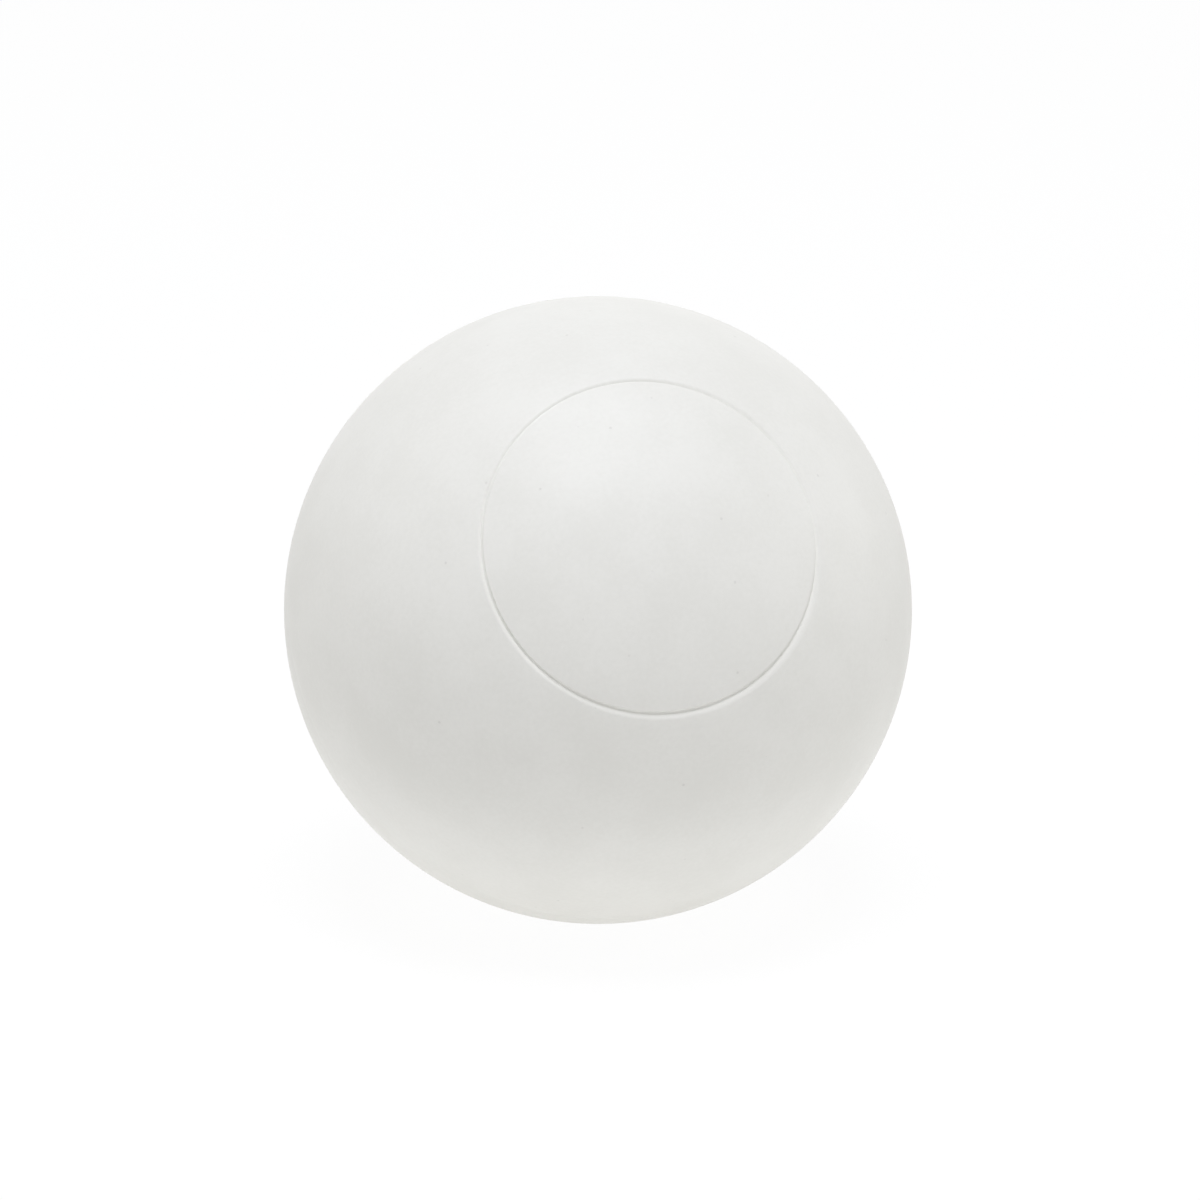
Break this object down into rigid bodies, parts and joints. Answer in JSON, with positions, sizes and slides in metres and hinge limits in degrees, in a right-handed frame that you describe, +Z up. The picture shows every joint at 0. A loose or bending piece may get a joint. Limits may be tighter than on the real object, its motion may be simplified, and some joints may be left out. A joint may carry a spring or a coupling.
{
  "type": "lacrosse ball",
  "caption": "Solid rubber ball: a smooth matte white cover, laid as bonded halves over a rubber core, with a fine ring groove round a blank disc; thrown and caught with a netted stick.",
  "frame": {"origin": "the ball's centre", "axes": "+Z up, away from the point that the ball sits on; -Y to the front; the mould's axis, square to the parting plane, runs from the centre through the middle of the ring, to the front and 30 degrees up"},
  "size_m": [0.0634, 0.0634, 0.0634],
  "materials": {
    "cover_rubber": "matte",
    "core_rubber": "matte"
  },
  "bodies": {
    "root": {"core": "core_rubber", "marked_cover_half": "cover_rubber", "plain_cover_half": "cover_rubber"}
  },
  "joints": []
}
